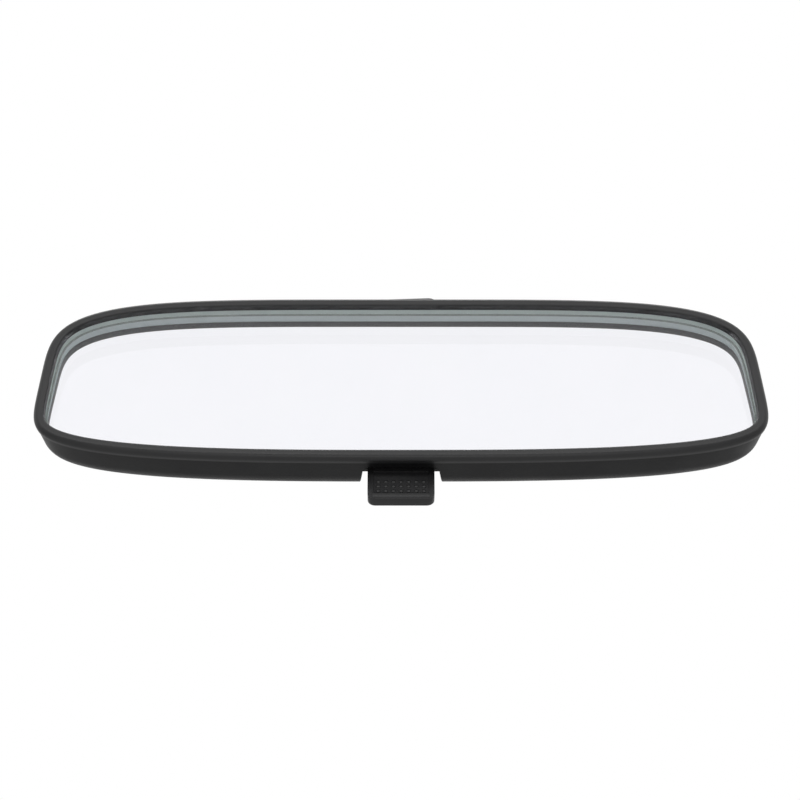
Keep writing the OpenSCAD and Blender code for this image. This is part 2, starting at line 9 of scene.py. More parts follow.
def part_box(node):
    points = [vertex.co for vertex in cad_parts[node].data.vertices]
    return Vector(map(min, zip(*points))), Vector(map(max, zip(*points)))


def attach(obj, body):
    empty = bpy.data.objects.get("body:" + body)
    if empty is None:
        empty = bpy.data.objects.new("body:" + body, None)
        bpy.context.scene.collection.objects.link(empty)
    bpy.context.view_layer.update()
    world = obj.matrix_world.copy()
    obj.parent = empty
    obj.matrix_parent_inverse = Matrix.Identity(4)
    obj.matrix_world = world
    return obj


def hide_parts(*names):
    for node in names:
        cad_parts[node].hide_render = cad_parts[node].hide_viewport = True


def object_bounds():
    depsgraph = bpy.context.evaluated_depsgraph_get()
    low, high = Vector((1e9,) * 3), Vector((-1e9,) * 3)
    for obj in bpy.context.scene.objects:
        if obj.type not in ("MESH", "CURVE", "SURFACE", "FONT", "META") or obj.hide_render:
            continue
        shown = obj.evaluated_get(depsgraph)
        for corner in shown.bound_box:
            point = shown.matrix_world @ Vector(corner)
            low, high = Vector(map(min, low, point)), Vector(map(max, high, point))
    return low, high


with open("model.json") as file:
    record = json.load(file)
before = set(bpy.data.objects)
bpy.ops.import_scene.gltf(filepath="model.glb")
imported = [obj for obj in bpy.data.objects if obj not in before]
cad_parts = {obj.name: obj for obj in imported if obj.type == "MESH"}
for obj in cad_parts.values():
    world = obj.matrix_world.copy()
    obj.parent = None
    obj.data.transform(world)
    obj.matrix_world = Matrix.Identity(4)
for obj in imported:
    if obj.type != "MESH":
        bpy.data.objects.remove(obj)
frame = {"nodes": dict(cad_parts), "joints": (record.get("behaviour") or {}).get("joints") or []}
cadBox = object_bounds()
scene = bpy.context.scene
joints = {joint["name"]: joint for joint in frame["joints"]}
mm = 0.001


# Places, all worked out from the frame.

def frameAt(place, axis=(0, 0, 1)):
    # millimetres about a place, with Z along an axis that lies in the YZ plane
    turn = Matrix.Rotation(-math.atan2(axis[1], axis[2]), 4, "X")
    return Matrix.Translation(Vector(place)) @ turn @ Matrix.Scale(mm, 4)


rimLow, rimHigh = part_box("rim_bezel")
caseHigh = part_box("rear_case")[1]
faceCentre = Vector(((rimLow.x + rimHigh.x) / 2, rimLow.y, (rimLow.z + rimHigh.z) / 2))
halfW = (rimHigh.x - rimLow.x) / 2 / mm     # half sizes of the head, in millimetres
halfH = (rimHigh.z - rimLow.z) / 2 / mm
caseDepth = round((caseHigh.y - rimLow.y) / mm, 1)
headFrame = frameAt(faceCentre)
leverLean = math.radians(joints["lever_turn"]["range_deg"][1] / 2)
leverPlace = Vector(joints["lever_turn"]["pos_m"])
leverFrame = Matrix.Translation(leverPlace) @ Matrix.Rotation(-leverLean, 4, "X") @ Matrix.Scale(mm, 4)
studFrame = frameAt(joints["head_roll"]["pos_m"], joints["head_roll"]["axis"])
armFrame = frameAt(joints["head_pan"]["pos_m"], joints["head_pan"]["axis"])
footBall = Vector(joints["arm_tilt"]["pos_m"])
armLen = (footBall - Vector(joints["head_pan"]["pos_m"])).length / mm
footTurn = math.radians(-2)  # the foot sits a little turned on the glass
footFrame = frameAt((0, 0, 0), joints["arm_swing"]["axis"]) @ Matrix.Rotation(footTurn, 4, "Z")
footDrop = footBall.length / mm
hinge = (headFrame.inverted() @ Vector(joints["toggle_tip"]["pos_m"]))
leverPin = (headFrame.inverted() @ leverPlace)


def addNode(tree, kind, inputs=(), **settings):
    node = tree.nodes.new(kind)
    for name, value in settings.items():
        setattr(node, name, value)
    for socket, value in dict(inputs).items():
        if isinstance(value, bpy.types.NodeSocket):
            tree.links.new(value, node.inputs[socket])
        else:
            node.inputs[socket].default_value = value
    return node


def linearColour(hexText):
    parts = [int(hexText[at:at + 2], 16) / 255 for at in (1, 3, 5)]
    return [v / 12.92 if v <= 0.04045 else ((v + 0.055) / 1.055) ** 2.4 for v in parts] + [1]


def newMaterial(name):
    material = bpy.data.materials.new(name)
    material.use_nodes = True
    tree = material.node_tree
    tree.nodes.clear()
    shader = addNode(tree, "ShaderNodeBsdfPrincipled")
    addNode(tree, "ShaderNodeOutputMaterial", {"Surface": shader.outputs["BSDF"]})
    place = addNode(tree, "ShaderNodeTexCoord").outputs["Object"]
    return material, tree, shader, place


def noiseAt(tree, place, size, detail=2.0, rough=0.5):
    # noise whose lumps are about size millimetres across
    return addNode(tree, "ShaderNodeTexNoise", {
        "Vector": place, "Scale": 1 / (size * mm), "Detail": detail, "Roughness": rough}).outputs["Fac"]


def ramp(tree, value, low, high, outLow, outHigh):
    return addNode(tree, "ShaderNodeMapRange", {
        "Value": value, "From Min": low, "From Max": high,
        "To Min": outLow, "To Max": outHigh}).outputs["Result"]


def blend(tree, share, first, second):
    node = addNode(tree, "ShaderNodeMix", {"Factor": share}, data_type="RGBA")
    for socket, colour in zip((node.inputs[6], node.inputs[7]), (first, second)):
        if isinstance(colour, str):
            socket.default_value = linearColour(colour)
        else:
            tree.links.new(colour, socket)
    return node.outputs[2]


def bump(tree, height, depth, strength, under=None):
    # a relief depth millimetres deep
    sockets = {"Height": height, "Distance": depth * mm, "Strength": strength}
    if under is not None:
        sockets["Normal"] = under
    return addNode(tree, "ShaderNodeBump", sockets).outputs["Normal"]


def setShader(tree, shader, inputs):
    for socket, value in inputs.items():
        if isinstance(value, bpy.types.NodeSocket):
            tree.links.new(value, shader.inputs[socket])
        else:
            shader.inputs[socket].default_value = value


def sparkErodedAbs(name, look):
    # ABS moulded in a spark-eroded tool: a fine even grain that spreads every highlight
    material, tree, shader, place = newMaterial(name)
    grain = noiseAt(tree, place, look["grain"], 3, 0.6)
    pits = addNode(tree, "ShaderNodeTexVoronoi", {
        "Vector": place, "Scale": 1 / (look["grain"] * 1.6 * mm)}, feature="SMOOTH_F1").outputs["Distance"]
    cloud = noiseAt(tree, place, look["cloud"], 4)
    dust = noiseAt(tree, place, look["dust"], 1)
    colour = blend(tree, ramp(tree, cloud, 0.35, 0.65, 0, 1), look["dark"], look["light"])
    colour = blend(tree, ramp(tree, dust, 0.72, 0.8, 0, 0.35), colour, look["speck"])
    relief = bump(tree, pits, look["relief"], 0.5, bump(tree, grain, look["relief"], 0.6))
    setShader(tree, shader, {
        "Base Color": colour, "Normal": relief, "IOR": 1.5, "Specular IOR Level": look["specular"],
        "Roughness": ramp(tree, cloud, 0.3, 0.7, look["rough"] - 0.04, look["rough"] + 0.05)})
    return material


absLook = {
    "grain": 0.42,      # mm, a real grain of 0.1 mm drawn coarser so that it shows
    "relief": 0.045,
    "cloud": 14, "dust": 0.9,
    "dark": "#151516", "light": "#1a1a1b", "speck": "#2c2c2d",
    "rough": 0.42, "specular": 0.42,
}
rimAbs = sparkErodedAbs("sparkErodedAbsRim", absLook)
# the case's copy of the rim's ABS, with a darker colour and less specular: painted shade for the case's
# underside
paintedShadeCaseAbs = sparkErodedAbs("sparkErodedAbsPaintedShadeCase", {
    **absLook, "dark": "#0d0d0e", "light": "#111112", "rough": 0.45, "specular": 0.16})
leverAbs = sparkErodedAbs("sparkErodedAbsLever", {**absLook, "grain": 0.36, "rough": 0.44})


def floatGlass():
    # clear float glass: polished, a trace of green, and a film of dust on its face
    material, tree, shader, place = newMaterial("floatGlass")
    film = noiseAt(tree, place, 9, 4)
    setShader(tree, shader, {
        "Base Color": blend(tree, film, "#fdfefd", "#fbfdfb"), "Transmission Weight": 1.0, "IOR": 1.52,
        "Roughness": 0.0})
    return material


def groundGlassEdge():
    # the ground edge: a pale green frost with fine wheel marks, seen through the glass
    material, tree, shader, place = newMaterial("groundGlassEdge")
    frost = noiseAt(tree, place, 0.35, 3)
    marks = addNode(tree, "ShaderNodeTexWave", {
        "Vector": place, "Scale": 420, "Distortion": 3.0, "Detail": 2}, bands_direction="Y").outputs["Fac"]
    colour = blend(tree, ramp(tree, frost, 0.3, 0.7, 0, 1), "#e2eeea", "#ecf5f2")
    setShader(tree, shader, {
        "Base Color": blend(tree, ramp(tree, marks, 0.2, 1, 0, 0.3), colour, "#cfdfd8"),
        "Roughness": 0.62, "IOR": 1.5, "Specular IOR Level": 0.2,
        "Normal": bump(tree, frost, 0.02, 0.4)})
    return material


def sealedSeamPaintedReflection():
    # the chamfer behind the edge, where the silvering stops and a dark sealer begins; its light grey colour
    # is a painted reflection of the rim's lit inner wall, not the sealer's own dark
    material, tree, shader, place = newMaterial("sealedSeamPaintedReflection")
    patches = noiseAt(tree, place, 1.4, 3)
    setShader(tree, shader, {
        # light grey: a painted reflection of the rim's lit inner wall, as the glass shows it
        "Base Color": blend(tree, ramp(tree, patches, 0.35, 0.65, 0, 1), "#8e9693", "#9ea5a2"),
        "Roughness": ramp(tree, patches, 0.3, 0.7, 0.35, 0.5), "Normal": bump(tree, patches, 0.02, 0.3)})
    return material


def silvering():
    # silver laid on the glass by a wet process: a clean, very slightly cool mirror
    material, tree, shader, place = newMaterial("silvering")
    bloom = noiseAt(tree, place, 30, 2)
    setShader(tree, shader, {
        "Base Color": blend(tree, bloom, "#faf9fe", "#f8f7fd"), "Metallic": 1.0,
        "Roughness": 0.0})
    return material


def backingPaint():
    # grey paint over the silver, rolled on, with a soft sheen and a fine orange peel
    material, tree, shader, place = newMaterial("backingPaint")
    peel = noiseAt(tree, place, 1.2, 3)
    setShader(tree, shader, {
        "Base Color": blend(tree, noiseAt(tree, place, 22, 4), "#6f7276", "#7d8084"),
        "Roughness": ramp(tree, peel, 0.3, 0.7, 0.4, 0.55), "Normal": bump(tree, peel, 0.04, 0.5)})
    return material


def powderCoat(name, look):
    # satin black powder coat: a soft orange peel over steel or a zinc casting
    material, tree, shader, place = newMaterial(name)
    peel = noiseAt(tree, place, look["peel"], 2)
    fine = noiseAt(tree, place, 0.3, 2)
    cloud = noiseAt(tree, place, 9, 4)
    colour = blend(tree, ramp(tree, cloud, 0.35, 0.65, 0, 1), look["dark"], look["light"])
    setShader(tree, shader, {
        "Base Color": colour,
        "Roughness": ramp(tree, fine, 0.3, 0.7, look["rough"] - 0.05, look["rough"] + 0.07),
        "Coat Weight": 0.15, "Coat Roughness": 0.3,
        "Normal": bump(tree, fine, 0.02, 0.35, bump(tree, peel, look["relief"], 0.5))})
    return material


armPaint = powderCoat("powderCoatArm", {
    "peel": 1.1, "relief": 0.05, "dark": "#161617", "light": "#1b1b1c", "rough": 0.36})
footPaint = powderCoat("powderCoatFoot", {
    "peel": 1.5, "relief": 0.07, "dark": "#161617", "light": "#1c1c1d", "rough": 0.42})


def steel(name, look):
    # turned, drawn or plated steel: streaks along one direction and small stains
    material, tree, shader, place = newMaterial(name)
    stretched = addNode(tree, "ShaderNodeMapping", {
        "Vector": place, "Scale": look["streak"]}).outputs["Vector"]
    streaks = noiseAt(tree, stretched, look["size"], 3, 0.6)
    stain = noiseAt(tree, place, 5, 4)
    colour = blend(tree, ramp(tree, stain, 0.35, 0.7, 0, 1), look["bright"], look["dull"])
    setShader(tree, shader, {
        "Base Color": blend(tree, ramp(tree, streaks, 0.3, 0.7, 0, 0.35), colour, look["dull"]),
        "Metallic": 1.0,
        "Roughness": ramp(tree, streaks, 0.25, 0.75, look["rough"] - 0.06, look["rough"] + 0.1),
        "Normal": bump(tree, streaks, 0.012, 0.5)})
    return material


alongX, evenly = (0.08, 1, 1), (1, 1, 1)    # streaks along the pins, or the same every way
drawnSteel = steel("drawnSteel", {
    "streak": alongX, "size": 0.25, "bright": "#c9c9c8", "dull": "#a2a19e", "rough": 0.26})
groundSteel = steel("groundSteel", {
    "streak": evenly, "size": 0.4, "bright": "#d2d2d0", "dull": "#b2b1ad", "rough": 0.2})
springSteel = steel("oiledSpringSteel", {
    "streak": evenly, "size": 0.5, "bright": "#8f8e8a", "dull": "#5f5d58", "rough": 0.3})
sinteredSteel = steel("sinteredSteel", {
    "streak": evenly, "size": 0.3, "bright": "#9b9a97", "dull": "#74726e", "rough": 0.46})
blackOxide = steel("blackOxideSteel", {
    "streak": evenly, "size": 0.4, "bright": "#3b3b3d", "dull": "#29292a", "rough": 0.38})


def zincPlate():
    # bright zinc with a thin passivation: cool metal with faint straw and blue patches
    material, tree, shader, place = newMaterial("zincPlatedSteel")
    patches = noiseAt(tree, place, 6, 4)
    spangle = addNode(tree, "ShaderNodeTexVoronoi", {
        "Vector": place, "Scale": 1 / (1.1 * mm)}).outputs["Distance"]
    colour = blend(tree, ramp(tree, patches, 0.35, 0.65, 0, 1), "#b9bcc0", "#c3bfae")
    setShader(tree, shader, {
        "Base Color": colour, "Metallic": 1.0,
        "Roughness": ramp(tree, spangle, 0, 0.8, 0.26, 0.4), "Normal": bump(tree, patches, 0.02, 0.4)})
    return material


def mouldedNylon():
    # natural nylon: milky, waxy, and a little light runs through it
    material, tree, shader, place = newMaterial("mouldedNylon")
    milk = noiseAt(tree, place, 4, 3)
    skin = noiseAt(tree, place, 0.4, 2)
    setShader(tree, shader, {
        "Base Color": blend(tree, milk, "#e4e0d0", "#dad5c2"),
        "Roughness": ramp(tree, skin, 0.3, 0.7, 0.34, 0.48),
        "Subsurface Weight": 0.35, "Subsurface Scale": 2 * mm, "Normal": bump(tree, skin, 0.015, 0.4)})
    return material


def closedCellFoam():
    # polyethylene foam: small closed cells and a dry, dusty surface
    material, tree, shader, place = newMaterial("closedCellFoam")
    cells = addNode(tree, "ShaderNodeTexVoronoi", {
        "Vector": place, "Scale": 1 / (0.6 * mm)}).outputs["Distance"]
    setShader(tree, shader, {
        "Base Color": blend(tree, ramp(tree, cells, 0, 0.7, 0, 1), "#2c2e31", "#45484c"),
        "Roughness": 0.9, "Sheen Weight": 0.15, "Normal": bump(tree, cells, 0.15, 0.8)})
    return material


def mouldedRubber():
    # black rubber: matt, with a faint grey bloom
    material, tree, shader, place = newMaterial("mouldedRubber")
    bloom = noiseAt(tree, place, 2.5, 4)
    setShader(tree, shader, {
        "Base Color": blend(tree, ramp(tree, bloom, 0.4, 0.7, 0, 1), "#151515", "#242424"),
        "Roughness": ramp(tree, bloom, 0.3, 0.7, 0.6, 0.8), "Normal": bump(tree, bloom, 0.03, 0.5)})
    return material


clearGlass = floatGlass()
glassEdge = groundGlassEdge()
seamWithPaintedReflection = sealedSeamPaintedReflection()
silver = silvering()
backPaint = backingPaint()
zinc = zincPlate()
nylon = mouldedNylon()
foam = closedCellFoam()
rubber = mouldedRubber()
print("materials made:", len(bpy.data.materials))


def newPiece(name, points, faces, place, materials):
    mesh = bpy.data.meshes.new(name)
    mesh.from_pydata([place @ Vector(point) for point in points], [], faces)
    piece = bpy.data.objects.new(name, mesh)
    scene.collection.objects.link(piece)
    for material in materials:
        mesh.materials.append(material)
    return piece


def outward(piece):
    # weld the seams and turn every face outwards
    work = bmesh.new()
    work.from_mesh(piece.data)
    bmesh.ops.remove_doubles(work, verts=work.verts, dist=0.002 * mm)
    bmesh.ops.recalc_face_normals(work, faces=work.faces)
    work.to_mesh(piece.data)
    work.free()
    return piece


def settle(piece):
    # live modifiers become the piece's own mesh
    evaluated = piece.evaluated_get(bpy.context.evaluated_depsgraph_get())
    mesh = bpy.data.meshes.new_from_object(evaluated)
    piece.modifiers.clear()
    piece.data = mesh
    return piece


def combine(target, other, operation):
    modifier = target.modifiers.new("combine", "BOOLEAN")
    modifier.operation = operation
    modifier.solver = "EXACT"
    modifier.object = other
    settle(target)
    bpy.data.objects.remove(other)
    return target


def joinPieces(pieces):
    # several meshes become one, with the first one's name
    work = bmesh.new()
    for piece in pieces:
        work.from_mesh(piece.data)
    work.to_mesh(pieces[0].data)
    work.free()
    for piece in pieces[1:]:
        bpy.data.objects.remove(piece)
    return pieces[0]


def soften(piece, width, segments=3, angle=35):
    modifier = piece.modifiers.new("edges", "BEVEL")
    modifier.width = width * mm
    modifier.segments = segments
    modifier.limit_method = "ANGLE"
    modifier.angle_limit = math.radians(angle)
    return settle(piece)


def smooth(piece, angle=35):
    mesh = piece.data
    mesh.polygons.foreach_set("use_smooth", [True] * len(mesh.polygons))
    mesh.set_sharp_from_angle(angle=math.radians(angle))
    return piece


def finishPiece(piece, body, nodes):
    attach(piece, body)
    if nodes:
        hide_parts(*nodes)
    return piece


def filleted(corners, steps=6):
    # corners as (x, y) or (x, y, radius); a radius becomes an arc
    points = []
    for at, corner in enumerate(corners):
        here = Vector(corner[:2])
        if len(corner) < 3:
            points.append(tuple(here))
            continue
        back = (Vector(corners[at - 1][:2]) - here).normalized()
        ahead = (Vector(corners[(at + 1) % len(corners)][:2]) - here).normalized()
        halfAngle = back.angle(ahead) / 2
        centre = here + (back + ahead).normalized() * corner[2] / math.sin(halfAngle)
        start = here + back * corner[2] / math.tan(halfAngle) - centre
        end = here + ahead * corner[2] / math.tan(halfAngle) - centre
        sweep = math.pi - 2 * halfAngle
        for step in range(steps + 1):
            t = step / steps
            spoke = (start * math.sin((1 - t) * sweep) + end * math.sin(t * sweep)) / math.sin(sweep)
            points.append(tuple(centre + spoke))
    return points


def turned(name, profile, place, materials, steps=96):
    # a closed profile of (radius, height) corners, turned about Z
    points, rings = [], []
    for radius, height in filleted(profile):
        if radius < 0.001:
            rings.append([len(points)] * steps)
            points.append((0, 0, height))
            continue
        rings.append([len(points) + k for k in range(steps)])
        for k in range(steps):
            angle = 2 * math.pi * k / steps
            points.append((radius * math.cos(angle), radius * math.sin(angle), height))
    faces = []
    for at, ring in enumerate(rings):
        after = rings[(at + 1) % len(rings)]
        for k in range(steps):
            corners = [ring[k], ring[(k + 1) % steps], after[(k + 1) % steps], after[k]]
            face = list(dict.fromkeys(corners))
            if len(face) > 2:
                faces.append(face)
    return outward(newPiece(name, points, faces, place, materials))


def prism(name, outline, low, high, place, materials=()):
    # an outline of XY corners between two heights
    flat = filleted(outline)
    count = len(flat)
    points = [(x, y, z) for z in (low, high) for x, y in flat]
    faces = [[k, (k + 1) % count, count + (k + 1) % count, count + k] for k in range(count)]
    faces += [list(range(count - 1, -1, -1)), list(range(count, 2 * count))]
    return outward(newPiece(name, points, faces, place, materials))


# how a prism's XY outline is stood up: in YZ with its height along X, or in XZ with it along -Y
facingX = Matrix(((0, 0, 1, 0), (1, 0, 0, 0), (0, 1, 0, 0), (0, 0, 0, 1)))
facingY = Matrix(((1, 0, 0, 0), (0, 0, -1, 0), (0, 1, 0, 0), (0, 0, 0, 1)))


# The head's outline, shared by the rim, the case and the glass.

outlineShape = {
    "points": 480,
    "warp": 6,                # degrees that the points crowd towards the corners
    "upper": (4.7, 3.8),      # the outline's powers in X and Z above mid-height
    "lower": (2.9, 6.1),
}


def outlinePoints():
    found = []
    for k in range(outlineShape["points"]):
        u = 360 * k / outlineShape["points"]
        t = math.radians(u + outlineShape["warp"] * math.sin(math.radians(4 * u)))
        c, s = abs(math.cos(t)), abs(math.sin(t))
        n, m = outlineShape["upper"] if math.sin(t) >= 0 else outlineShape["lower"]
        r = 1.0
        for _ in range(14):
            r -= ((r * c) ** n + (r * s) ** m - 1) * r / (n * (r * c) ** n + m * (r * s) ** m)
        slope = Vector((n / halfW * (r * c) ** (n - 1), m / halfH * (r * s) ** (m - 1))).normalized()
        found.append((r * math.cos(t), r * math.sin(t),
                      -math.copysign(slope.x, math.cos(t)), -math.copysign(slope.y, math.sin(t))))
    return found


outline = outlinePoints()
# the case's side turns over at turnDepth and ends in a shallow dome
turnDepth, domeRise, turnIn, turnEnd = 0.4 * caseDepth, 0.18 * caseDepth, 11.7, 75
turnDeep = (caseDepth - turnDepth - domeRise) / math.sin(math.radians(turnEnd))
sideInset, sideDraft = 0.25, 0.02
turnStart = sideInset + sideDraft * turnDepth
backInset = turnStart + turnIn * (1 - math.cos(math.radians(turnEnd)))


def insetPoint(p, inset):
    # X and Z of an outline point moved inwards, along its normal near the rim, then by scaling
    shrink = 0 if inset < backInset else ((inset - backInset) / (halfH - backInset)) ** 1.5
    nearX, nearZ = halfW * p[0] + inset * p[2], halfH * p[1] + inset * p[3]
    farX = (halfW - inset * (1 + (halfW / halfH - 1) * shrink)) * p[0]
    farZ = (halfH - inset) * p[1]
    share = min(1, max(0, (inset - 4) / 5))
    return nearX + (farX - nearX) * share, nearZ + (farZ - nearZ) * share


def ringsOf(sections):
    return [(x, depth, z) for inset, depth in sections for x, z in (insetPoint(p, inset) for p in outline)]


def bandFaces(count, closed):
    # quads between the rings of count sections
    n = len(outline)
    return [[a * n + j, a * n + (j + 1) % n, (a + 1) % count * n + (j + 1) % n, (a + 1) % count * n + j]
            for a in range(count if closed else count - 1) for j in range(n)]


rim = {
    "width": 3.8, "side": 2.1, "round": 1.2,      # mm: width, depth where it is widest, inner rounding
    "outerBow": 1.1, "innerBow": 0.5,
    "parting": 3.2, "skirtInset": 2.328, "skirtDepth": 6.4,
    "seatInset": 3.5, "recess": 2.8,
    "edge": 0.12,                                  # rounding of the small edges
}


def makeRim():
    w = rim["width"] / 2
    bow = rim["outerBow"]
    outer = [(w * (1 - math.sin(a) ** bow), rim["side"] * (1 - math.cos(a) ** bow))
             for a in (math.radians(4.5 * k) for k in range(21))]
    corners = [(0.02, rim["parting"] - 0.1), (0.05 + rim["edge"], rim["parting"], rim["edge"] / 2),
               (rim["skirtInset"], rim["parting"]), (rim["skirtInset"], rim["skirtDepth"], rim["edge"]),
               (rim["seatInset"], rim["skirtDepth"], rim["edge"]), (rim["seatInset"], rim["recess"]),
               (rim["width"], rim["recess"], rim["edge"])]
    bow = rim["innerBow"]
    inner = [(w * (1 + math.sin(a) ** bow), rim["round"] * (1 - math.cos(a) ** bow))
             for a in (math.radians(90 - 4.5 * k) for k in range(20))]
    section = filleted(outer + corners + inner, 3)
    piece = newPiece("rimBezel", ringsOf(section), bandFaces(len(section), True), headFrame, [rimAbs])
    return finishPiece(smooth(outward(piece), 40), "case", ["rim_bezel"])


makeRim()
print("rim made")


case = {
    "wall": 1.9, "gap": 0.15,
    "notchFront": 6.6, "notchHalf": 12.75, "notchFlare": 0.13, "notchRound": 1.6,
    "notchTop": 3.5,            # below the lever's pin
    "opening": 9.5,             # radius of the hole for the arm's stud
    "pinRadius": 1.55,
    "hingeEar": (3.7, 12.4, 14.6), "leverEar": (3.4, 9.6, 11.8),   # radius and the two faces in X
    "postRadius": 2.6, "padThickness": 2.05,
    "posts": ((0.34, 0.5), (0.34, -0.45), (0.74, 0.45), (0.74, -0.42)),  # as shares of the half sizes
    "stop": (8.5, 9.95),         # X of the rubber stops and their height above mid-height
    "stopDepth": 20.836,
    "locator": (47, 1.6, 2.6),
}
wedge = math.radians(3.099)    # between the glass's front and its silvered back
glassMid = 6.5                 # depth of the painted film at mid-height


def caseSections(t):
    # inset and depth of each section, t inside the case's outer face
    sections = [(sideInset + sideDraft * y + t, y) for y in
                [rim["parting"] + case["gap"]] + [4 + 0.8 * k for k in range(10)] + [turnDepth]]
    for step in range(1, 26):
        a = math.radians(3 * step)
        sections.append((turnStart + t + (turnIn - t) * (1 - math.cos(a)),
                         turnDepth + (turnDeep - t) * math.sin(a)))
    start, back = sections[-1][0], caseDepth - t
    rise = back - sections[-1][1]
    for step in range(1, 25):
        f = step / 24 * 0.985
        sections.append((start + (halfH - start) * f, back - rise * (1 - f) ** 1.6))
    return sections


def shellSolid(name, sections):
    # a closed solid through the sections, with a flat front and a closed back
    n = len(outline)
    faces = bandFaces(len(sections), False)
    faces += [list(range(n)), list(range((len(sections) - 1) * n, len(sections) * n))]
    return outward(newPiece(name, ringsOf(sections), faces, headFrame, [paintedShadeCaseAbs]))


def rod(radius, start, end, steps=48):
    # a plain round bar between two places in the head's frame, used as a tool or a rib
    along = Vector(end) - Vector(start)
    place = headFrame @ Matrix.Translation(Vector(start)) @ along.to_track_quat("Z", "Y").to_matrix().to_4x4()
    profile = [(0, 0), (radius, 0), (radius, along.length), (0, along.length)]
    return turned("rod", profile, place, [paintedShadeCaseAbs], steps)


def makeCaseInners():
    parts = []
    back = caseDepth + 2
    for side in (-1, 1):
        radius, low, high = case["hingeEar"]
        parts.append(rod(radius, (side * low, hinge.y, hinge.z), (side * high, hinge.y, hinge.z)))
        parts.append(prism("web", [(hinge.y, hinge.z - radius), (back, hinge.z - radius),
                                   (back, hinge.z + radius), (hinge.y, hinge.z + radius)],
                           side * low, side * high, headFrame @ facingX, [paintedShadeCaseAbs]))
        radius, low, high = case["leverEar"]
        parts.append(rod(radius, (side * low, leverPin.y, leverPin.z), (side * high, leverPin.y, leverPin.z)))
        parts.append(prism("web", [(leverPin.y, leverPin.z - radius), (back, leverPin.z - 1),
                                   (back, leverPin.z + 12), (leverPin.y, leverPin.z + radius)],
                           side * low, side * high, headFrame @ facingX, [paintedShadeCaseAbs]))
        for shareX, shareZ in case["posts"]:
            x, z = side * shareX * halfW, shareZ * halfH
            tip = glassMid + z * math.tan(wedge) + case["padThickness"]
            parts.append(rod(case["postRadius"], (x, tip, z), (x, back, z)))
        x, z = case["stop"]
        parts.append(rod(case["postRadius"], (side * x, case["stopDepth"], z), (side * x, back, z)))
        x, width, length = case["locator"]
        low, under = side * x - width / 2, halfH - rim["seatInset"] - 0.1
        parts.append(prism("rib", [(rim["skirtDepth"] + 0.1, under), (rim["skirtDepth"] + length, under),
                                   (rim["skirtDepth"] + length, halfH), (rim["skirtDepth"] + 0.1, halfH)],
                           low, low + width, headFrame @ facingX, [paintedShadeCaseAbs]))
    together = parts[0]
    for part in parts[1:]:
        combine(together, part, "UNION")
    return together


def makeCase():
    t = case["wall"]
    outerSections = caseSections(0)
    shell = shellSolid("rearCase", outerSections)
    hollow = shellSolid("hollow", [(sideInset + t, rim["parting"] - 2)] + caseSections(t))
    inners = combine(makeCaseInners(), shellSolid("within", [(1.2, 5)] + caseSections(t / 2)), "INTERSECT")
    combine(hollow, inners, "DIFFERENCE")
    combine(shell, hollow, "DIFFERENCE")
    far = 2 * caseDepth
    front, half, corner = case["notchFront"], case["notchHalf"], case["notchRound"]
    wide = half + case["notchFlare"] * (far - front)
    notch = prism("notch", [(half, front, corner), (wide, far), (-wide, far), (-half, front, corner)],
                  -halfH - 2, leverPin.z - case["notchTop"], headFrame)
    combine(shell, notch, "DIFFERENCE")
    hole = turned("hole", [(0, -24), (case["opening"], -24), (case["opening"], 0), (0, 0)], studFrame, [])
    combine(shell, hole, "DIFFERENCE")
    for place in (hinge, leverPin):
        combine(shell, rod(case["pinRadius"], (-20, place.y, place.z), (20, place.y, place.z)), "DIFFERENCE")
    return finishPiece(smooth(shell, 28), "case", ["rear_case"])


makeCase()
print("case made")


glass = {
    "inset": 3.6,
    "chamfer": 0.28,            # ground chamfer around the front face
    "seam": 0.6,                # sealed chamfer around the silvered back
    "gap": 0.03,                # between the silver and the painted film behind it
}


def makeGlass():
    # a wedge: clear front, ground edge, sealed chamfer coloured as a painted reflection, and silvered back
    n = len(outline)
    points = []
    for inset, row in ((glass["chamfer"], 0), (0, 1), (0, 2), (glass["seam"], 3)):
        for p in outline:
            x, z = insetPoint(p, glass["inset"] + inset)
            front, back = rim["recess"], glassMid - glass["gap"] + z * math.tan(wedge)
            depth = (front, front + glass["chamfer"], back - glass["seam"], back)[row]
            points.append((x, depth, z))
    faces = bandFaces(4, False) + [list(range(n)), list(range(3 * n, 4 * n))]
    finishesOfGlass = [clearGlass, glassEdge, seamWithPaintedReflection, silver]
    piece = outward(newPiece("prismGlass", points, faces, headFrame, finishesOfGlass))
    middle = faceCentre.y + (rim["recess"] + glassMid) / 2 * mm
    for face in piece.data.polygons:
        if len(face.vertices) > 4:
            face.material_index = 0 if face.center.y < middle else 3
        else:
            face.material_index = 1 if abs(face.normal.y) < 0.2 or face.normal.y < 0 else 2
    return finishPiece(smooth(piece, 20), "case", ["prism_glass"])


makeGlass()
print("glass made")


lever = {
    "tabWidth": 23, "tabThick": 3.2, "tabLength": 13.9, "start": 8, "corner": 2.6, "taper": 0.4,
    "trayWidth": 18.8, "trayDepth": 0.5, "trayLow": 2.6, "trayTop": 0.6, "middleRow": 6.4,
    "lipRadius": 1.3, "lipRise": 0.6,
    "columns": 7, "rows": 3, "pitch": 2.55, "rowPitch": 2.25, "dotRadius": 0.75, "dotRise": 0.42,
    "hubRadius": 3.4, "hubHalf": 8.6, "forkIn": 5.3, "forkOut": 7.3, "forkRadius": 2.7, "blade": 2.8,
    "edge": 0.27,                                 # rounding of the small edges
}


def treeInputs(tree, inputs):
    # the group's inputs with their first values, and its one mesh output
    for name, kind, value in inputs:
        tree.interface.new_socket(
            name, in_out="INPUT", socket_type="NodeSocket" + kind).default_value = value
    tree.interface.new_socket("Geometry", in_out="OUTPUT", socket_type="NodeSocketGeometry")
    return addNode(tree, "NodeGroupInput").outputs


